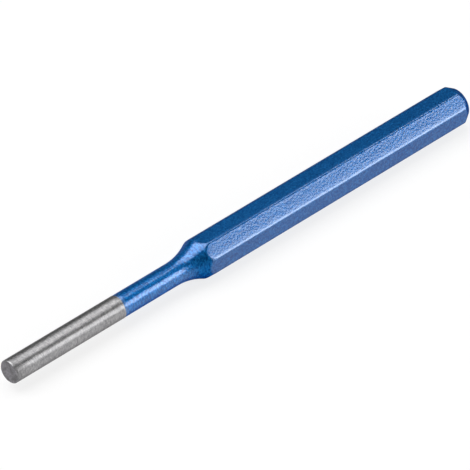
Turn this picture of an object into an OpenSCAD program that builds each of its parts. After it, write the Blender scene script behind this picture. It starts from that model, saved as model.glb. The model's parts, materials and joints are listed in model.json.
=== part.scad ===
// Pin punch: one steel bar with a ground pin, a turned neck and an octagonal shank, lacquered
// from the back of the pin to the striking head. It lies on one flat, with the tip towards -X.

/* [Shank] */
// Length from the tip face to the striking face, over the lacquer
overall_length = 150; // [120:1:220]
// Width of the steel shank across its flats
across_flats = 10; // [8:0.5:16]
// Rounding along the eight corners of the shank
corner_radius = 0.7; // [0.3:0.1:1.5]

/* [Pin] */
// Diameter of the pin where it is ground
pin_diameter = 6; // [2:0.5:7]
// Length of the straight pin, from the tip to the start of the neck
pin_length = 52; // [45:1:70]
// Length that is ground and left bare, from the tip to the edge of the lacquer
bare_length = 34.6; // [10:0.1:40]
// How far the pin behind the bare length lies below it, so that the lacquer doesn't rub in a hole
relief_depth = 0.1; // [0.05:0.01:0.3]
// Edge break round the tip face
tip_chamfer = 0.25; // [0.1:0.05:0.6]

/* [Neck] */
// Radius of the hollow curve that leads from the pin to the shank
neck_radius = 18; // [10:1:25]
// Steepest slope of the neck, measured from the axis
neck_angle = 27; // [18:1:40]

/* [Striking head] */
// Diameter of the flat striking face, measured to where its edge would be sharp
face_diameter = 8; // [6:0.1:9]
// Slope of the head's chamfer, measured from the axis
chamfer_angle = 31; // [20:1:50]
// Rounding between the chamfer and the striking face
face_edge_radius = 0.5; // [0.2:0.1:1]

/* [Lacquer] */
// Thickness of the lacquer
lacquer_thickness = 0.06; // [0.05:0.01:0.2]

/* [Hidden] */

steel_colour = [0.62, 0.62, 0.63];
lacquer_colour = [0.16, 0.36, 0.66];

sides = 8;
side_angle = 360 / sides;
corner_steps = 6;
edge_steps = 5;
$fn = 96;

steel_length = overall_length - lacquer_thickness;
pin_r = pin_diameter / 2;
turned_r = pin_r - relief_depth;
flat_r = across_flats / 2;
rest_height = flat_r + lacquer_thickness;

// Rise and length of the hollow curve, up to where it reaches its steepest slope
curve_rise = neck_radius * (1 - cos(neck_angle));
curve_length = neck_radius * sin(neck_angle);

// Radius of the bar before its flats are cut: clear of the shank's corners by the curve's rise
corner_r = flat_r / cos(side_angle / 2);
blank_r = corner_r + curve_rise;

// Points of an arc, turning from one angle to another
function arc(centre, radius, from, to, steps) =
    [for (i = [0:steps]) centre + radius * [cos(from + (to - from) * i / steps), sin(from + (to - from) * i / steps)]];

// Outline of the shank's section: a regular polygon with a round at each corner
function shank_section(flat, round) =
    [for (i = [0:sides - 1])
        let (turn = i * side_angle, reach = (flat - round) / cos(side_angle / 2))
        each arc(
            reach * [cos(turn + side_angle / 2), sin(turn + side_angle / 2)],
            round, turn, turn + side_angle, corner_steps
        )];

// Turned outline of the bar behind the bare pin, as radius against length, grown by skin all
// round: the relieved pin, a plain step for the neck, the flare after the neck's curve, the chamfer of the
// head, and the round that leads into the striking face
function stepped_outline(skin) =
    let (
        curve_end = pin_length + curve_length - skin * sin(neck_angle),
        curve_end_r = turned_r + curve_rise + skin * cos(neck_angle),
        flare_end = curve_end + (blank_r - curve_end_r) / tan(neck_angle),
        top = steel_length + skin,
        miter_share = tan(45 - chamfer_angle / 2),
        face_r = face_diameter / 2 + skin * miter_share,
        chamfer_start = top - (blank_r - face_r) / tan(chamfer_angle),
        edge_r = face_edge_radius + skin,
        edge_centre = [face_r - edge_r * miter_share, top - edge_r]
    )
    concat(
        [[0, bare_length], [turned_r + skin, bare_length], [turned_r + skin, pin_length]],
        [[curve_end_r, pin_length], [curve_end_r, curve_end]],
        [[blank_r, flare_end], [blank_r, chamfer_start]],
        arc(edge_centre, edge_r, chamfer_angle, 90, edge_steps),
        [[0, top]]
    );

// The outline with its step hollowed to the neck's radius
module turned_outline(skin) {
    difference() {
        polygon(stepped_outline(skin));
        translate([turned_r + neck_radius, pin_length])
            circle(r = neck_radius - skin);
    }
}

// The bar from the edge of the lacquer to the striking face: the flats are cut through neck and
// head alike, and so run out in rounded tongues on both
module bar(skin) {
    intersection() {
        rotate_extrude()
            turned_outline(skin);
        linear_extrude(height = overall_length + skin)
            polygon(shank_section(flat_r + skin, corner_radius + skin));
    }
}

// The bare pin, with its edge broken at the tip face
module ground_pin() {
    cylinder(r1 = pin_r - tip_chamfer, r2 = pin_r, h = tip_chamfer);
    translate([0, 0, tip_chamfer])
        cylinder(r = pin_r, h = bare_length - tip_chamfer);
}

// From upright on the tip to lying on one flat
module lay_down() {
    translate([-overall_length / 2, 0, rest_height])
        rotate([0, 90, 0])
            children();
}

module punch_body() {
    color(steel_colour)
        lay_down()
            union() {
                ground_pin();
                bar(0);
            }
}

module lacquer_coat() {
    color(lacquer_colour)
        lay_down()
            difference() {
                bar(lacquer_thickness);
                bar(0);
            }
}

punch_body();
lacquer_coat();
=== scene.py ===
"""A pin punch lying on a pale floor: its steel bar and lacquer, the finishes, the studio, the view."""
import json
import math

import bpy
import numpy as np
from mathutils import Matrix, Vector


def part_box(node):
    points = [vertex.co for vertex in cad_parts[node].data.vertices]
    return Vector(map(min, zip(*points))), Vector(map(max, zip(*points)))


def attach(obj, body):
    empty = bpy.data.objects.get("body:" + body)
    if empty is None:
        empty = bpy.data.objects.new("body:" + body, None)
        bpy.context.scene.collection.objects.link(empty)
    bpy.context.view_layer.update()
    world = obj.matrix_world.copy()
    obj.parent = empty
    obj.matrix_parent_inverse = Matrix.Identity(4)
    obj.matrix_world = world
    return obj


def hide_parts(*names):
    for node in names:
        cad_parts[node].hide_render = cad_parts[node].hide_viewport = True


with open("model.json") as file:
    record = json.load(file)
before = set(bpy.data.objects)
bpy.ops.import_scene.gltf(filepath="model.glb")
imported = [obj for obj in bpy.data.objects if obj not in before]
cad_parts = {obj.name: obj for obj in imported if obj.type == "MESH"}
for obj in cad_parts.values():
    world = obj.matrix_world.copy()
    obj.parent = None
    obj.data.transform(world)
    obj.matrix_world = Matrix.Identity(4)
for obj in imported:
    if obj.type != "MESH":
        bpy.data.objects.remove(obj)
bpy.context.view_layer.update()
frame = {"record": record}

MM = 0.001

# Sizes that the frame gives, in metres
coat_low, coat_high = (Vector(c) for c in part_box("lacquer_coat"))
steel_low, steel_high = (Vector(c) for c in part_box("punch_body"))
mounts = {m["name"]: m for m in frame["record"]["mounts"]}
TIP_X = steel_low.x
FACE_X = steel_high.x
LACQUER_EDGE_X = coat_low.x
LACQUER = coat_high.x - steel_high.x
FLAT_R = (steel_high.z - steel_low.z) / 2
AXIS_Z = (coat_low.z + coat_high.z) / 2
PIN_R = mounts["driving_pin"]["dims"]["r_mm"] * MM
PIN_END_X = mounts["driving_pin"]["pos_m"][0] + mounts["driving_pin"]["dims"]["length_mm"] * MM / 2

# Sizes of the bar that the frame doesn't state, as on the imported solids
RELIEF = 0.1 * MM
NECK_CURVE_R = 18 * MM
NECK_SLOPE = math.radians(27)
FACE_R = 4 * MM
FACE_EDGE_ROUND = 0.5 * MM
HEAD_SLOPE = math.radians(31)
TIP_CHAMFER = 0.25 * MM
SIDES = 8
SIDE_ANGLE = 2 * math.pi / SIDES
HALF_SIDE = SIDE_ANGLE / 2

# Rounding of the shank's corners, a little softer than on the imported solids
CORNER_ROUND = 0.85 * MM

# How far the middle of each flat lies below the ridge along its first border and how much further
# its other border falls off, then the ridge's width and the fall's start as shares of half a side
FLAT_HOLLOW = 0.008 * MM
FLAT_FALL = 0.018 * MM
RIDGE_SHARE = 0.11
FALL_FROM_SHARE = 0.2

# Softness that the grinding and the lacquer give to edges, and the share of half a side past which
# that of the tongues turns into that of the corners
TONGUE_SOFTNESS = 0.32 * MM
CORNER_SOFTNESS = 0.75 * MM
HEAD_SOFTNESS = 0.08 * MM
TIP_EDGE_ROUND = 0.05 * MM
LIP_ROUND = 0.03 * MM
CORNER_FROM_SHARE = 0.45

# How far the edge of the lacquer leans and waves, how often it waves round the pin, and the
# directions of both in radians
EDGE_LEAN = 0.09 * MM
EDGE_LEAN_SIDE = 0.7
EDGE_WAVE = 0.05 * MM
EDGE_WAVES = 3
EDGE_WAVE_SHIFT = 1.1

# Directions round the bar, from straight up towards the front: where the tip's broken edge is
# brightened as a painted glint, where the shank's corners show most rubbing and a painted highlight,
# and where the neck's lacquer is dull and its colour darkened as painted shade
GLINT_SIDE = math.radians(24)
RUBBED_AND_LIT_SIDE = math.radians(68)
DULL_SHADED_SIDE = math.radians(100)

# How near a point has to lie to such a direction, as a cosine, and the width of its fade
GLINT_FROM, GLINT_FADE = 0.5, 0.4
RUBBED_AND_LIT_FROM, RUBBED_AND_LIT_FADE = 0.78, 0.2
DULL_SHADED_SIDE_FROM, DULL_SHADED_SIDE_FADE = 0.2, 0.35

# The band of a corner, paler from rubbing and partly a painted highlight: its place from the crest,
# half width and fade, and its least rubbing
RUB_AND_HIGHLIGHT_PLACE = math.radians(-1.8)
RUB_AND_HIGHLIGHT_WIDTH = math.radians(4.3)
RUB_AND_HIGHLIGHT_FADE = math.radians(2.5)
LEAST_RUB_AND_HIGHLIGHT = 0.15

# Wear of the striking face, how far before the face it starts and over what length it rises, then
# the length that rubs off at the lacquer's edge, and that towards the tip over which the steel is
# rougher and darkened as painted shade
FACE_WEAR = 0.3
FACE_WEAR_FROM = 0.15 * MM
FACE_WEAR_FADE = 0.2 * MM
EDGE_WEAR_LENGTH = 0.6 * MM
TIP_DULL_AND_SHADE_LENGTH = 4 * MM

# Slopes of the neck between which the lacquer's gloss fades and its colour darkens as painted shade,
# and how dull the head's chamfer is, where its colour is also darkened as painted shade
DULL_SHADED_FROM = math.radians(5)
DULL_SHADED_TO = math.radians(19)
CHAMFER_DULLNESS_AND_SHADE = 0.7

# Points of the meshes: those round each flat and corner, the rings along the bar and over its ends,
# and the smallest ring of an end as a share of its radius
FLAT_STEPS = 14
CORNER_STEPS = 8
PIN_RINGS = 30
RELIEVED_PIN_RINGS = 8
PLAIN_RINGS = 30
SHOWN_RINGS = 64
HIDDEN_RINGS = 36
FACE_EDGE_RINGS = 9
FACE_RINGS = 8
TIP_RINGS = 12
INNER_SHARE = 0.1

# Where rings lie along the bar: clear of the lacquer's edge and the pin's end, from just before the
# neck, and closer together round the shoulder and on the head, whose last radius is measured just
# inside the striking face
RING_CLEARANCE = 1 * MM
NECK_LEAD = 0.6 * MM
SHOULDER_BEFORE = 0.6 * MM
SHOULDER_AFTER = 2.2 * MM
HEAD_STRETCH = 3.2 * MM
JUST_INSIDE = 1e-9


# Outline of the bar as a radius round its axis

def rise(value, start, width):
    """From 0 to 1 as a value climbs from start, over a width."""
    return np.clip((value - start) / width, 0, 1)


def smooth(share):
    """The same share with a soft start and end."""
    return share**2 * (3 - 2 * share)


def off_flat(angle):
    """The angle from the middle of the nearest flat."""
    return (angle + HALF_SIDE) % SIDE_ANGLE - HALF_SIDE


def soft_min(a, b, softness):
    """The smaller of two radii, with the edge where they meet rounded inwards."""
    near = np.maximum(softness - np.abs(a - b), 0) / softness
    return np.minimum(a, b) - near**2 * softness / 4


def flat_dip(from_flat, flat_half):
    """How far the grinding went below true: a ridge at one border, a slight fall at the other."""
    border = flat_half / HALF_SIDE
    share = from_flat / HALF_SIDE
    ridge = np.exp(-(((share + border) / RIDGE_SHARE) ** 2))
    fall = rise(share, FALL_FROM_SHARE, border - FALL_FROM_SHARE) ** 2
    on_flat = FLAT_HOLLOW * (1 - ridge) + FLAT_FALL * fall
    past = np.clip((share - border) % 2 / (2 * (1 - border)), 0, 1)
    on_corner = (FLAT_HOLLOW + FLAT_FALL) * (1 - smooth(past))
    return np.where(np.abs(share) <= border, on_flat, on_corner)


def section_radius(angle, skin):
    """Radius of the octagonal section, with rounded corners, in a direction from straight up."""
    flat = FLAT_R + skin
    corner = CORNER_ROUND + skin
    from_flat = off_flat(angle)
    on_flat = flat / np.cos(from_flat)
    reach = (flat - corner) / math.cos(HALF_SIDE)
    from_corner = HALF_SIDE - np.abs(from_flat)
    across = reach * np.sin(from_corner)
    on_corner = reach * np.cos(from_corner) + np.sqrt(np.maximum(corner**2 - across**2, 0))
    flat_half = math.atan((flat - corner) * math.tan(HALF_SIDE) / flat)
    true = np.where(np.abs(from_flat) <= flat_half, on_flat, on_corner)
    return true - flat_dip(from_flat, flat_half)


def neck_radius(x, skin):
    """Radius of the relieved pin, the hollow curve of the neck and the straight flare after it."""
    pin = PIN_R - RELIEF
    curve = NECK_CURVE_R - skin
    curve_end = PIN_END_X + curve * math.sin(NECK_SLOPE)
    along = np.clip(x - PIN_END_X, 0, curve * math.sin(NECK_SLOPE))
    hollow = pin + NECK_CURVE_R - np.sqrt(curve**2 - along**2)
    return hollow + np.maximum(x - curve_end, 0) * math.tan(NECK_SLOPE)


def head_radius(x, skin):
    """Radius of the head: its chamfer, and the round that leads into the striking face."""
    miter = math.tan(math.pi / 4 - HEAD_SLOPE / 2)
    face = FACE_R + skin * miter
    edge = FACE_EDGE_ROUND + skin
    centre_x = FACE_X + skin - edge
    chamfer = face + (FACE_X + skin - x) * math.tan(HEAD_SLOPE)
    inside = np.clip(edge**2 - (x - centre_x) ** 2, 0, None)
    rounded = face - edge * miter + np.sqrt(inside)
    return np.where(x > centre_x + edge * math.sin(HEAD_SLOPE), rounded, chamfer)


def corner_share(angle):
    """From 0 over most of a flat to 1 at the corners of the shank."""
    share = np.abs(off_flat(angle)) / HALF_SIDE
    return smooth(rise(share, CORNER_FROM_SHARE, 1 - CORNER_FROM_SHARE))


def bar_radius(x, angle, skin):
    """Radius of the bar behind its bare pin: the smallest of neck, flats and head."""
    softness = TONGUE_SOFTNESS + (CORNER_SOFTNESS - TONGUE_SOFTNESS) * corner_share(angle)
    body = soft_min(neck_radius(x, skin), section_radius(angle, skin), softness)
    return soft_min(body, head_radius(x, skin), HEAD_SOFTNESS)


def ring_angles():
    """Directions round the axis, close together on the corners and at the borders of the flats."""
    flat_half = math.atan((FLAT_R - CORNER_ROUND) * math.tan(HALF_SIDE) / FLAT_R)
    quarter = math.pi / 2
    across_flat = flat_half * np.sin(np.linspace(-quarter, quarter, FLAT_STEPS, endpoint=False))
    round_corner = np.linspace(flat_half, SIDE_ANGLE - flat_half, CORNER_STEPS, endpoint=False)
    one_side = np.concatenate([across_flat, round_corner])
    return np.concatenate([one_side + i * SIDE_ANGLE for i in range(SIDES)])


def lacquer_edge(angle):
    """Where the lacquer starts on the pin: the ground edge wanders a little from true."""
    lean = EDGE_LEAN * np.cos(angle - EDGE_LEAN_SIDE)
    return LACQUER_EDGE_X - lean + EDGE_WAVE * np.sin(EDGE_WAVES * angle + EDGE_WAVE_SHIFT)


ANGLES = ring_angles()


# Wear, grain and painted light, kept on the meshes for the finishes to read

def add_values(piece, name, values):
    """Keeps one value per point on the mesh."""
    kept = piece.data.attributes.new(name, "FLOAT", "POINT")
    kept.data.foreach_set("value", values)


def places_of(piece):
    """Each point's place along the bar, and its direction round it from straight up."""
    points = np.empty(len(piece.data.vertices) * 3)
    piece.data.vertices.foreach_get("co", points)
    x, y, z = points.reshape(-1, 3).T
    return x, np.arctan2(-y, z - AXIS_Z)


def lacquer_wear_and_highlight(piece):
    """Paler corner bands from rubbing and a painted highlight, most on one side, and rubbing at the
    ends.
    """
    x, angle = places_of(piece)
    on_highlight_side = rise(np.cos(angle - RUBBED_AND_LIT_SIDE), RUBBED_AND_LIT_FROM, RUBBED_AND_LIT_FADE)
    handled_and_highlighted = LEAST_RUB_AND_HIGHLIGHT + (1 - LEAST_RUB_AND_HIGHLIGHT) * on_highlight_side
    from_crest = angle % SIDE_ANGLE - HALF_SIDE
    # The corner band is partly a painted highlight, lying where the highlight falls
    rub_and_painted_highlight = rise(RUB_AND_HIGHLIGHT_WIDTH - np.abs(from_crest - RUB_AND_HIGHLIGHT_PLACE), 0, RUB_AND_HIGHLIGHT_FADE)
    flats = section_radius(angle, LACQUER)
    on_shank = np.minimum(neck_radius(x, LACQUER), head_radius(x, LACQUER)) > flats
    on_corner = on_shank * handled_and_highlighted * rub_and_painted_highlight
    on_face = FACE_WEAR * rise(x, FACE_X - FACE_WEAR_FROM, FACE_WEAR_FADE)
    at_edge = 1 - rise(x, LACQUER_EDGE_X, EDGE_WEAR_LENGTH)
    add_values(piece, "wear_and_painted_light", np.maximum(np.maximum(on_corner, on_face), at_edge))


def lacquer_grain_and_painted_shade(piece):
    """Where turned steel shows through, and where the lacquer is dull and darkened as painted shade.

    It is dull and darkened as painted shade on one side of the steep neck and on the head's chamfer,
    and glossy elsewhere.
    """
    x, angle = places_of(piece)
    neck = neck_radius(x, LACQUER)
    flats = section_radius(angle, LACQUER)
    turned = np.clip(0.5 + (flats - neck) / TONGUE_SOFTNESS, 0, 1)
    add_values(piece, "turned", turned)
    slope = np.arcsin(np.clip((x - PIN_END_X) / NECK_CURVE_R, 0, math.sin(NECK_SLOPE)))
    steep = rise(slope, DULL_SHADED_FROM, DULL_SHADED_TO - DULL_SHADED_FROM)
    # The side of the neck whose lacquer is dull and darkened as painted shade
    side = rise(np.cos(angle - DULL_SHADED_SIDE), DULL_SHADED_SIDE_FROM, DULL_SHADED_SIDE_FADE)
    on_chamfer = rise(np.minimum(neck, flats) - head_radius(x, LACQUER), 0, HEAD_SOFTNESS)
    behind_face = x < FACE_X + LACQUER / 2
    chamfer_dull_and_shaded = CHAMFER_DULLNESS_AND_SHADE * on_chamfer * behind_face
    add_values(piece, "dullness_and_painted_shade", np.maximum(turned * steep * side, chamfer_dull_and_shaded))


def steel_dullness_and_painted_light(piece):
    """Rougher and darkened as painted shade towards the tip, and brightened as a painted glint along
    one side of its broken edge.
    """
    x, angle = places_of(piece)
    add_values(piece, "wear_and_painted_light", 1 - rise(x, TIP_X, TIP_DULL_AND_SHADE_LENGTH))
    # The side of the broken edge where a glint is painted
    on_highlight_side = rise(np.cos(angle - GLINT_SIDE), GLINT_FROM, GLINT_FADE)
    add_values(piece, "painted_glint", on_highlight_side)


# Meshes from rings of points

def ring(x, radius):
    """Points of one ring round the axis; x and radius may be one value or one per direction."""
    x = np.broadcast_to(x, ANGLES.shape)
    return np.stack([x, -radius * np.sin(ANGLES), AXIS_Z + radius * np.cos(ANGLES)], axis=-1)


def round_ring(x, radius):
    """A ring of one radius all round."""
    return ring(x, np.full_like(ANGLES, radius))


def mesh_from_rings(name, rings, start=None, end=None):
    """A smooth piece from rings in order, with an optional centre point at each end."""
    count = len(ANGLES)
    points = [p for r in rings for p in r]
    faces = []
    for i in range(len(rings) - 1):
        for j in range(count):
            k = (j + 1) % count
            faces.append((i * count + j, i * count + k, (i + 1) * count + k, (i + 1) * count + j))
    if start is not None:
        points.append(start)
        faces += [(len(points) - 1, (j + 1) % count, j) for j in range(count)]
    if end is not None:
        points.append(end)
        last = (len(rings) - 1) * count
        faces += [(len(points) - 1, last + j, last + (j + 1) % count) for j in range(count)]
    mesh = bpy.data.meshes.new(name)
    fill_mesh(mesh, [tuple(p) for p in points], faces)
    piece = bpy.data.objects.new(name, mesh)
    bpy.context.scene.collection.objects.link(piece)
    return piece


def fill_mesh(mesh, points, faces):
    """Gives an empty mesh its points and smooth faces."""
    mesh.from_pydata(points, [], faces)
    mesh.validate()
    mesh.polygons.foreach_set("use_smooth", [True] * len(mesh.polygons))


def close_inside(mesh, inside):
    """Adds the skin's inner wall, from a centre point under the face back to its first ring."""
    count = len(ANGLES)
    old_points = np.empty(len(mesh.vertices) * 3)
    mesh.vertices.foreach_get("co", old_points)
    points = [tuple(p) for p in old_points.reshape(-1, 3)]
    faces = [tuple(p.vertices) for p in mesh.polygons]
    centre = len(points)
    points.append((FACE_X, 0, AXIS_Z))
    first = len(points)
    points += [tuple(p) for r in inside for p in r]
    faces += [(centre, first + (j + 1) % count, first + j) for j in range(count)]
    for i in range(len(inside) - 1):
        for j in range(count):
            k = (j + 1) % count
            a, b = first + i * count, first + (i + 1) * count
            faces.append((a + j, a + k, b + k, b + j))
    last = first + (len(inside) - 1) * count
    for j in range(count):
        k = (j + 1) % count
        faces.append((last + j, last + k, k, j))
    mesh.clear_geometry()
    fill_mesh(mesh, points, faces)


def stations(skin, fine):
    """Places along the bar behind the pin, close together where its outline turns."""
    flare_x = PIN_END_X + NECK_CURVE_R * math.sin(NECK_SLOPE)
    shoulder = (flare_x - SHOULDER_BEFORE, flare_x + SHOULDER_AFTER)
    head_x = FACE_X - HEAD_STRETCH
    return np.concatenate([
        np.linspace(LACQUER_EDGE_X + RING_CLEARANCE, PIN_END_X - RING_CLEARANCE, RELIEVED_PIN_RINGS),
        np.linspace(PIN_END_X - NECK_LEAD, shoulder[0], PLAIN_RINGS, endpoint=False),
        np.linspace(*shoulder, fine, endpoint=False),
        np.linspace(shoulder[1], head_x, PLAIN_RINGS, endpoint=False),
        np.linspace(head_x, FACE_X + skin - FACE_EDGE_ROUND, fine // 2, endpoint=False),
    ])


def bar_rings(skin, fine):
    """Rings along the bar from the edge of the lacquer to the edge of the head."""
    return [ring(x, bar_radius(np.full_like(ANGLES, x), ANGLES, skin)) for x in stations(skin, fine)]


def head_rings(skin):
    """Rings over the rounded edge of the head and in over the striking face."""
    edge = FACE_EDGE_ROUND + skin
    miter = math.tan(math.pi / 4 - HEAD_SLOPE / 2)
    rim = FACE_R + skin * miter - edge * miter
    rings = []
    for turn in np.linspace(HEAD_SLOPE, math.pi / 2, FACE_EDGE_RINGS):
        x = FACE_X + skin - edge + edge * math.sin(turn)
        measured_x = np.full_like(ANGLES, min(x, FACE_X + skin - JUST_INSIDE))
        rings.append(ring(x, bar_radius(measured_x, ANGLES, skin)))
    for share in np.linspace(1, INNER_SHARE, FACE_RINGS)[1:]:
        rings.append(round_ring(FACE_X + skin, rim * share))
    return rings


def chamfer_outline():
    """The tip's edge break from face to pin, with both of its edges a little rounded."""
    edge = TIP_EDGE_ROUND
    inner = PIN_R - TIP_CHAMFER
    half = edge * math.sqrt(0.5)
    far, near, nearest = edge * 0.4, edge * 0.1, edge * 0.05
    yield near, inner - far
    yield far, inner - nearest
    yield half, inner + half
    yield TIP_CHAMFER - half, PIN_R - half
    yield TIP_CHAMFER + nearest, PIN_R - far
    yield TIP_CHAMFER + far, PIN_R - near


def make_steel():
    """The whole bar. Only its bare pin shows; the rest carries the lacquer."""
    edge = TIP_EDGE_ROUND
    tip_face_r = PIN_R - TIP_CHAMFER - edge
    face_rings = [round_ring(TIP_X, tip_face_r * s) for s in np.linspace(INNER_SHARE, 1, TIP_RINGS)]
    chamfer = [round_ring(TIP_X + dx, r) for dx, r in chamfer_outline()]
    pin_start = TIP_X + TIP_CHAMFER + 2 * edge
    pin_xs = np.linspace(pin_start, LACQUER_EDGE_X - RING_CLEARANCE, PIN_RINGS)
    pin = [round_ring(x, PIN_R) for x in pin_xs]
    edge_x = lacquer_edge(ANGLES)
    land = [
        round_ring(edge_x - LIP_ROUND, PIN_R),
        round_ring(edge_x - LIP_ROUND / 4, PIN_R - LIP_ROUND / 4),
        round_ring(edge_x, PIN_R - LIP_ROUND),
        round_ring(edge_x, PIN_R - RELIEF),
    ]
    rings = face_rings + chamfer + pin + land + bar_rings(0, HIDDEN_RINGS) + head_rings(0)
    piece = mesh_from_rings("steel_bar", rings, (TIP_X, 0, AXIS_Z), (FACE_X, 0, AXIS_Z))
    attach(piece, "root")
    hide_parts("punch_body")
    return piece


def make_lacquer():
    """The lacquer as a closed skin: over the bar, round a small lip at its edge, and back inside."""
    edge_x = lacquer_edge(ANGLES)
    inner_r = PIN_R - RELIEF
    outer_r = inner_r + LACQUER
    lip = [
        round_ring(edge_x, inner_r),
        round_ring(edge_x, outer_r - LIP_ROUND),
        round_ring(edge_x + LIP_ROUND / 4, outer_r - LIP_ROUND / 4),
        round_ring(edge_x + LIP_ROUND, outer_r),
    ]
    outside = lip + bar_rings(LACQUER, SHOWN_RINGS) + head_rings(LACQUER)
    inside = (bar_rings(0, HIDDEN_RINGS) + head_rings(0))[::-1]
    piece = mesh_from_rings("lacquer_skin", outside, None, (FACE_X + LACQUER, 0, AXIS_Z))
    close_inside(piece.data, inside)
    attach(piece, "root")
    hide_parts("lacquer_coat")
    return piece


# Nodes that the finishes are built from

def new_material(name):
    """A material with only a Principled shader, and its node tree."""
    material = bpy.data.materials.new(name)
    material.use_nodes = True
    tree = material.node_tree
    shader = next(n for n in tree.nodes if n.type == "BSDF_PRINCIPLED")
    return material, tree, shader


def object_points(tree, scale):
    """Object coordinates, stretched along each axis by scale, in features per metre."""
    coords = tree.nodes.new("ShaderNodeTexCoord")
    mapping = tree.nodes.new("ShaderNodeMapping")
    mapping.inputs["Scale"].default_value = scale
    tree.links.new(coords.outputs["Object"], mapping.inputs["Vector"])
    return mapping.outputs["Vector"]


def noise(tree, scale, detail, roughness=0.5):
    """A noise texture over the object, with a scale along each axis."""
    node = tree.nodes.new("ShaderNodeTexNoise")
    node.inputs["Scale"].default_value = 1.0
    node.inputs["Detail"].default_value = detail
    node.inputs["Roughness"].default_value = roughness
    tree.links.new(object_points(tree, scale), node.inputs["Vector"])
    return node.outputs["Fac"]


def grey(level):
    return (level, level, level)


def ramp(tree, value, stops):
    """A colour ramp from (place, colour) stops."""
    node = tree.nodes.new("ShaderNodeValToRGB")
    elements = node.color_ramp.elements
    while len(elements) < len(stops):
        elements.new(0.5)
    for element, (place, colour) in zip(elements, stops):
        element.position = place
        element.color = (*colour, 1)
    tree.links.new(value, node.inputs["Fac"])
    return node.outputs["Color"]


def spread(tree, value, low, high):
    """Maps a 0 to 1 value onto low to high."""
    node = tree.nodes.new("ShaderNodeMapRange")
    node.inputs["To Min"].default_value = low
    node.inputs["To Max"].default_value = high
    tree.links.new(value, node.inputs["Value"])
    return node.outputs["Result"]


def bump(tree, height, distance, strength, before=None):
    """A bump of one strength, or of a strength that another node gives, over an earlier one."""
    node = tree.nodes.new("ShaderNodeBump")
    node.inputs["Distance"].default_value = distance
    if isinstance(strength, float):
        node.inputs["Strength"].default_value = strength
    else:
        tree.links.new(strength, node.inputs["Strength"])
    tree.links.new(height, node.inputs["Height"])
    if before is not None:
        tree.links.new(before, node.inputs["Normal"])
    return node.outputs["Normal"]


def mix_colours(tree, kind, first):
    """A colour mix node that has its first colour, with its second colour and share left open."""
    node = tree.nodes.new("ShaderNodeMix")
    node.data_type = "RGBA"
    node.blend_type = kind
    tree.links.new(first, node.inputs[6])
    return node


def blend(tree, share, first, second):
    """Mixes two colours; the second may be one plain colour."""
    node = mix_colours(tree, "MIX", first)
    tree.links.new(share, node.inputs[0])
    if isinstance(second, tuple):
        node.inputs[7].default_value = second
    else:
        tree.links.new(second, node.inputs[7])
    return node.outputs[2]


def multiply(tree, first, second):
    """The product of two colours."""
    node = mix_colours(tree, "MULTIPLY", first)
    node.inputs[0].default_value = 1.0
    tree.links.new(second, node.inputs[7])
    return node.outputs[2]


def combine(tree, operation, first, second):
    """The result of one arithmetic operation on two values."""
    node = tree.nodes.new("ShaderNodeMath")
    node.operation = operation
    tree.links.new(first, node.inputs[0])
    tree.links.new(second, node.inputs[1])
    return node.outputs[0]


def attribute(tree, name):
    """A value that the mesh keeps for each of its points."""
    node = tree.nodes.new("ShaderNodeAttribute")
    node.attribute_name = name
    return node.outputs["Fac"]


# Finishes, whose patterns are given in features per metre along each axis

MOTTLE = (2300, 2300, 2300)
PATCHES = (90, 90, 90)
LACQUER_CUTS = (2600, 1200, 1200)
RUB_AND_HIGHLIGHT_NOISE = (900, 900, 900)
PEEL = (1900, 1900, 1900)
SCRATCHES = (3400, 900, 900)
FLECKS = (1500, 1500, 1500)
CUT_GRAIN = (1800, 1800, 1800)
STAINS = (700, 700, 700)

# Distance between the rings that the cut left on the tip face, and a wave texture's own periods
TOOL_FEED = 0.35 * MM
WAVE_PERIODS = 20 / (2 * math.pi)

# Colour that lacquer takes on where it rubs off, and on the shank's corners as a painted highlight
RUBBED_AND_HIGHLIGHTED_LACQUER = (0.36, 0.48, 0.68, 1)


def lacquer_colour(tree, mottle, cuts, turned, dullness_and_painted_shade):
    """Flaked blue, streaked where the bar is turned, darkened as painted shade where dull, and pale
    with rubbing and with a painted highlight on the shank's corners.
    """
    colour = ramp(tree, mottle, [
        (0.35, (0.003, 0.073, 0.260)),
        (0.50, (0.007, 0.115, 0.356)),
        (0.65, (0.016, 0.168, 0.465)),
    ])
    patches = noise(tree, PATCHES, detail=2.0)
    uneven = ramp(tree, patches, [(0.35, (0.92, 0.92, 0.94)), (0.65, grey(1.0))])
    colour = multiply(tree, colour, uneven)
    streaks = ramp(tree, cuts, [(0.36, (0.50, 0.78, 0.84)), (0.64, (1.5, 1.67, 1.57))])
    colour = blend(tree, turned, colour, multiply(tree, colour, streaks))
    # Painted shade: the colour is darkened where the lacquer is dull, on one side of the neck and on
    # the chamfer
    painted_shade = ramp(tree, dullness_and_painted_shade, [(0.0, grey(1.0)), (1.0, (0.70, 0.80, 0.80))])
    colour = multiply(tree, colour, painted_shade)
    # The paler lacquer on the shank's corners is partly a painted highlight
    from_wear_and_painted_light = combine(tree, "MULTIPLY", attribute(tree, "wear_and_painted_light"), noise(tree, RUB_AND_HIGHLIGHT_NOISE, detail=3.0))
    return blend(tree, spread(tree, from_wear_and_painted_light, low=0.0, high=0.5), colour, RUBBED_AND_HIGHLIGHTED_LACQUER)


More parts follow.
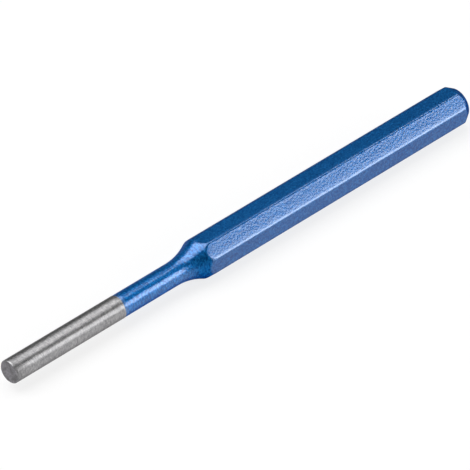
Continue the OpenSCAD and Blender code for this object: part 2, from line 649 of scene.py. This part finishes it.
def clear_coat_weight(tree, mottle, cuts, turned, dullness_and_painted_shade):
    """The clear coat's gloss: less at glancing angles, over cuts and flakes, and where dull."""
    glance = tree.nodes.new("ShaderNodeLayerWeight")
    glance.inputs["Blend"].default_value = 0.5
    clear = ramp(tree, glance.outputs["Facing"], [
        (0.30, grey(1.0)),
        (0.45, grey(0.73)),
        (0.62, grey(0.20)),
        (0.82, grey(0.02)),
    ])
    dashes = ramp(tree, cuts, [(0.34, grey(0.8)), (0.48, grey(1.0))])
    dashed = blend(tree, turned, clear, multiply(tree, clear, dashes))
    glossy = spread(tree, dullness_and_painted_shade, low=1.0, high=0.04)
    flaked = ramp(tree, mottle, [(0.36, grey(0.74)), (0.60, grey(1.0))])
    return combine(tree, "MULTIPLY", combine(tree, "MULTIPLY", dashed, glossy), flaked)


def lacquer_material():
    """Metallic blue lacquer: a flaked blue layer under a clear, slightly uneven coat."""
    material, tree, shader = new_material("blue_metallic_lacquer")
    mottle = noise(tree, MOTTLE, detail=4.0, roughness=0.65)
    cuts = noise(tree, LACQUER_CUTS, detail=2.0, roughness=0.6)
    turned = attribute(tree, "turned")
    dullness_and_painted_shade = attribute(tree, "dullness_and_painted_shade")
    colour = lacquer_colour(tree, mottle, cuts, turned, dullness_and_painted_shade)
    tree.links.new(colour, shader.inputs["Base Color"])
    shader.inputs["Metallic"].default_value = 0.76
    shader.inputs["Specular IOR Level"].default_value = 0.0
    shader.inputs["Specular Tint"].default_value = (0.02, 0.06, 0.2, 1)
    tree.links.new(spread(tree, mottle, low=0.28, high=0.57), shader.inputs["Roughness"])
    shader.inputs["Coat Roughness"].default_value = 0.136
    shader.inputs["Coat IOR"].default_value = 1.72
    weight = clear_coat_weight(tree, mottle, cuts, turned, dullness_and_painted_shade)
    tree.links.new(weight, shader.inputs["Coat Weight"])
    flakes = bump(tree, mottle, distance=0.10 * MM, strength=0.48)
    under_coat = bump(tree, cuts, distance=0.05 * MM, strength=turned, before=flakes)
    tree.links.new(under_coat, shader.inputs["Normal"])
    peel = bump(tree, noise(tree, PEEL, detail=3.0), distance=0.07 * MM, strength=0.7)
    on_coat = bump(tree, cuts, distance=0.03 * MM, strength=turned, before=peel)
    tree.links.new(on_coat, shader.inputs["Coat Normal"])
    return material


def ground_steel_material():
    """Bare steel, ground round the pin: rings of scratches, bright flecks, and a tip that is rougher
    and darkened as painted shade.
    """
    material, tree, shader = new_material("ground_steel")
    scratches = noise(tree, SCRATCHES, detail=4.0, roughness=0.7)
    flecks = noise(tree, FLECKS, detail=4.0, roughness=0.7)
    tip_dullness_and_shade = attribute(tree, "wear_and_painted_light")
    colour = ramp(tree, scratches, [(0.34, (0.27, 0.267, 0.275)), (0.66, (0.445, 0.44, 0.445))])
    flecked = ramp(tree, flecks, [(0.36, (0.80, 0.80, 0.81)), (0.64, (1.2, 1.2, 1.19))])
    # Painted shade: the steel's colour is darker towards the tip
    dull = ramp(tree, tip_dullness_and_shade, [(0.0, grey(1.0)), (1.0, grey(0.80))])
    colour = multiply(tree, multiply(tree, colour, flecked), dull)
    tree.links.new(colour, shader.inputs["Base Color"])
    shader.inputs["Metallic"].default_value = 1.0
    shader.inputs["Specular Tint"].default_value = (0.3, 0.3, 0.3, 1)
    uneven = spread(tree, flecks, low=0.32, high=0.54)
    from_wear_and_painted_light = spread(tree, tip_dullness_and_shade, low=0.0, high=0.14)
    tree.links.new(combine(tree, "ADD", uneven, from_wear_and_painted_light), shader.inputs["Roughness"])
    round_pin = tree.nodes.new("ShaderNodeTangent")
    round_pin.direction_type = "RADIAL"
    round_pin.axis = "X"
    tree.links.new(round_pin.outputs["Tangent"], shader.inputs["Tangent"])
    shader.inputs["Anisotropic"].default_value = 0.72
    shader.inputs["Anisotropic Rotation"].default_value = 0.25
    grain = bump(tree, flecks, distance=0.05 * MM, strength=0.5)
    scratched = bump(tree, scratches, distance=0.022 * MM, strength=0.6, before=grain)
    tree.links.new(scratched, shader.inputs["Normal"])
    return material


def cut_steel_material():
    """The tip face: dull steel with faint rings from the cut, and stains from hammering."""
    material, tree, shader = new_material("cut_steel")
    grain = noise(tree, CUT_GRAIN, detail=3.0, roughness=0.6)
    colour = ramp(tree, grain, [(0.3, (0.15, 0.148, 0.156)), (0.7, (0.26, 0.256, 0.268))])
    stains = noise(tree, STAINS, detail=3.0, roughness=0.6)
    stained = ramp(tree, stains, [(0.36, (0.62, 0.62, 0.61)), (0.60, (1.12, 1.1, 1.13))])
    tree.links.new(multiply(tree, colour, stained), shader.inputs["Base Color"])
    shader.inputs["Metallic"].default_value = 1.0
    tree.links.new(spread(tree, grain, low=0.40, high=0.55), shader.inputs["Roughness"])
    cut = bump(tree, rings_about_axis(tree), distance=0.02 * MM, strength=0.4)
    grained = bump(tree, grain, distance=0.03 * MM, strength=0.5, before=cut)
    tree.links.new(grained, shader.inputs["Normal"])
    return material


def rings_about_axis(tree):
    """Waves in the distance from the bar's axis, as a lathe leaves on a face."""
    coords = tree.nodes.new("ShaderNodeTexCoord")
    centred = tree.nodes.new("ShaderNodeVectorMath")
    centred.operation = "SUBTRACT"
    centred.inputs[1].default_value = (TIP_X, 0, AXIS_Z)
    tree.links.new(coords.outputs["Object"], centred.inputs[0])
    waves = tree.nodes.new("ShaderNodeTexWave")
    waves.wave_type = "RINGS"
    waves.rings_direction = "X"
    waves.inputs["Scale"].default_value = 1 / TOOL_FEED / WAVE_PERIODS
    waves.inputs["Distortion"].default_value = 1.5
    tree.links.new(centred.outputs["Vector"], waves.inputs["Vector"])
    return waves.outputs["Fac"]


def edge_glint_material():
    """The broken edge round the tip: dull, but smoother and brightened along one side as a painted
    glint.
    """
    material, tree, shader = new_material("edge_steel_with_painted_glint")
    grain = noise(tree, FLECKS, detail=3.0, roughness=0.6)
    bright = attribute(tree, "painted_glint")
    colour = ramp(tree, grain, [(0.35, (0.40, 0.40, 0.405)), (0.65, (0.60, 0.595, 0.605))])
    # Painted glint: one side of the broken edge is brighter
    rub_and_painted_highlight = ramp(tree, bright, [(0.0, (0.40, 0.40, 0.41)), (1.0, grey(0.92))])
    tree.links.new(multiply(tree, colour, rub_and_painted_highlight), shader.inputs["Base Color"])
    shader.inputs["Metallic"].default_value = 1.0
    tree.links.new(spread(tree, bright, low=0.50, high=0.30), shader.inputs["Roughness"])
    grained = bump(tree, grain, distance=0.02 * MM, strength=0.4)
    tree.links.new(grained, shader.inputs["Normal"])
    return material


# Material slots of the tip on the steel bar, and the normal's x that counts as facing out of it
TIP_FACE_SLOT = 1
TIP_EDGE_SLOT = 2
FACING_TIP = -0.9


def dress_steel(piece):
    """Ground steel on the bar, cut steel on the tip face, and steel with a painted glint on its broken
    edge.
    """
    for material in (ground_steel_material(), cut_steel_material(), edge_glint_material()):
        piece.data.materials.append(material)
    for polygon in piece.data.polygons:
        if polygon.center.x > TIP_X + TIP_CHAMFER:
            continue
        on_face = polygon.normal.x < FACING_TIP
        polygon.material_index = TIP_FACE_SLOT if on_face else TIP_EDGE_SLOT
    steel_dullness_and_painted_light(piece)


def dress_lacquer(piece):
    """Wear, grain, painted light and the blue lacquer on the skin."""
    lacquer_wear_and_highlight(piece)
    lacquer_grain_and_painted_shade(piece)
    piece.data.materials.append(lacquer_material())


# Studio, in metres, with heights on a sphere of radius 1 for the backdrop's top and the dome's fade

FLOOR_WHITE_SHARE = 0.8
FLOOR_HALF = 6.0
LIGHT_DISTANCE = 1.5
BACKDROP_TOP = 0.05
WORLD_DOME = 0.02
DOME_FADE = (0.02, 0.27)
WHITE = (1, 1, 1, 1)

# Name, azimuth and elevation in degrees, half width and half height, roll in degrees, radiance
SOFT_BOXES = [
    ("overhead_box", 114.1, 72.9, 0.612, 0.498, -53.0, 3.05),
    ("front_box", -54.7, 20.2, 0.264, 0.264, -24.0, 5.0),
    ("head_side_strip", -9.4, 30.1, 0.562, 0.055, 70.1, 7.0),
    ("tip_side_fill", 151.0, 36.0, 0.46, 0.18, 0.0, 2.2),
    ("camera_side_card", 215.0, 27.0, 0.34, 0.26, 0.0, 0.4),
]


def seen_white(tree):
    """One for rays that show the studio's white: those of the camera, of gloss and of glass."""
    path = tree.nodes.new("ShaderNodeLightPath")
    seen = path.outputs["Is Camera Ray"]
    for kind in ("Is Glossy Ray", "Is Transmission Ray"):
        seen = combine(tree, "MAXIMUM", seen, path.outputs[kind])
    return seen


def floor_material():
    """Pale floor: a diffuse surface that also shows the studio's white to camera and reflections."""
    material, tree, shader = new_material("pale_floor")
    output = next(n for n in tree.nodes if n.type == "OUTPUT_MATERIAL")
    shader.inputs["Base Color"].default_value = (0.88, 0.88, 0.88, 1)
    shader.inputs["Roughness"].default_value = 0.9
    shader.inputs["Specular IOR Level"].default_value = 0.0
    white = tree.nodes.new("ShaderNodeEmission")
    white.inputs["Color"].default_value = WHITE
    white.inputs["Strength"].default_value = 1.0
    share = tree.nodes.new("ShaderNodeMath")
    share.operation = "MULTIPLY"
    share.inputs[1].default_value = FLOOR_WHITE_SHARE
    tree.links.new(seen_white(tree), share.inputs[0])
    mix = tree.nodes.new("ShaderNodeMixShader")
    tree.links.new(share.outputs[0], mix.inputs[0])
    tree.links.new(shader.outputs[0], mix.inputs[1])
    tree.links.new(white.outputs[0], mix.inputs[2])
    tree.links.new(mix.outputs[0], output.inputs["Surface"])
    return material


def make_floor():
    """A square floor under the punch, which is stage and not part of it."""
    mesh = bpy.data.meshes.new("floor")
    h = FLOOR_HALF
    mesh.from_pydata([(-h, -h, 0), (h, -h, 0), (h, h, 0), (-h, h, 0)], [], [(0, 1, 2, 3)])
    floor = bpy.data.objects.new("floor", mesh)
    bpy.context.scene.collection.objects.link(floor)
    mesh.materials.append(floor_material())


def make_world():
    """A dim dome that fades out towards the horizon, over a low white backdrop."""
    world = bpy.data.worlds.new("studio")
    bpy.context.scene.world = world
    world.use_nodes = True
    tree = world.node_tree
    background = next(n for n in tree.nodes if n.type == "BACKGROUND")
    coords = tree.nodes.new("ShaderNodeTexCoord")
    parts = tree.nodes.new("ShaderNodeSeparateXYZ")
    tree.links.new(coords.outputs["Generated"], parts.inputs["Vector"])
    dome = tree.nodes.new("ShaderNodeMapRange")
    dome.interpolation_type = "SMOOTHSTEP"
    dome.inputs["From Min"].default_value = DOME_FADE[0]
    dome.inputs["From Max"].default_value = DOME_FADE[1]
    dome.inputs["To Min"].default_value = 0.0
    dome.inputs["To Max"].default_value = WORLD_DOME
    tree.links.new(parts.outputs["Z"], dome.inputs["Value"])
    low = tree.nodes.new("ShaderNodeMath")
    low.operation = "LESS_THAN"
    low.inputs[1].default_value = BACKDROP_TOP
    tree.links.new(parts.outputs["Z"], low.inputs[0])
    backdrop = combine(tree, "MULTIPLY", low.outputs[0], seen_white(tree))
    strength = combine(tree, "ADD", dome.outputs["Result"], backdrop)
    tree.links.new(strength, background.inputs["Strength"])
    background.inputs["Color"].default_value = WHITE


def make_soft_box(name, azimuth, elevation, half_width, half_height, roll, radiance):
    """An even rectangular light that faces the punch. Its half sides are shares of its distance."""
    light = bpy.data.lights.new(name, "AREA")
    light.shape = "RECTANGLE"
    light.size = 2 * half_width * LIGHT_DISTANCE
    light.size_y = 2 * half_height * LIGHT_DISTANCE
    light.energy = radiance * math.pi * light.size * light.size_y
    lamp = bpy.data.objects.new(name, light)
    a, e, r = math.radians(azimuth), math.radians(elevation), math.radians(roll)
    toward = Vector((math.cos(e) * math.cos(a), math.cos(e) * math.sin(a), math.sin(e)))
    level = Vector((-math.sin(a), math.cos(a), 0))
    upright = toward.cross(level)
    width_way = level * math.cos(r) + upright * math.sin(r)
    height_way = upright * math.cos(r) - level * math.sin(r)
    turn = Matrix((width_way, height_way, toward)).transposed()
    place = toward * LIGHT_DISTANCE + Vector((0, 0, AXIS_Z))
    lamp.matrix_world = Matrix.Translation(place) @ turn.to_4x4()
    lamp.visible_camera = False
    bpy.context.scene.collection.objects.link(lamp)


# View, as fitted to the outline of the punch in the photograph

PHOTO_SIDE = 470
VIEW_AZIMUTH = math.radians(-44.656)
VIEW_ELEVATION = math.radians(37.4)
VIEW_DISTANCE = 1.2677
VIEW_PX_PER_METRE = 4198.9
VIEW_CENTRE_PX = (240.08, 232.79)
SENSOR_MM = 36.0


def make_camera():
    """The photograph's view: a long lens, above and to the left of the tip."""
    data = bpy.data.cameras.new("camera")
    data.sensor_width = SENSOR_MM
    data.lens = VIEW_PX_PER_METRE * VIEW_DISTANCE * SENSOR_MM / PHOTO_SIDE
    middle = (PHOTO_SIDE - 1) / 2
    data.shift_x = (middle - VIEW_CENTRE_PX[0]) / PHOTO_SIDE
    data.shift_y = (VIEW_CENTRE_PX[1] - middle) / PHOTO_SIDE
    camera = bpy.data.objects.new("camera", data)
    level = math.cos(VIEW_ELEVATION)
    back_x = math.sin(VIEW_AZIMUTH) * level
    back_y = -math.cos(VIEW_AZIMUTH) * level
    back = Vector((back_x, back_y, math.sin(VIEW_ELEVATION)))
    camera.location = Vector((0, 0, AXIS_Z)) + back * VIEW_DISTANCE
    camera.rotation_mode = "QUATERNION"
    camera.rotation_quaternion = back.to_track_quat("Z", "Y")
    bpy.context.scene.collection.objects.link(camera)
    bpy.context.scene.camera = camera


make_camera()
dress_steel(make_steel())
dress_lacquer(make_lacquer())
make_floor()
make_world()
for box in SOFT_BOXES:
    make_soft_box(*box)
bpy.context.scene.view_settings.view_transform = "Standard"
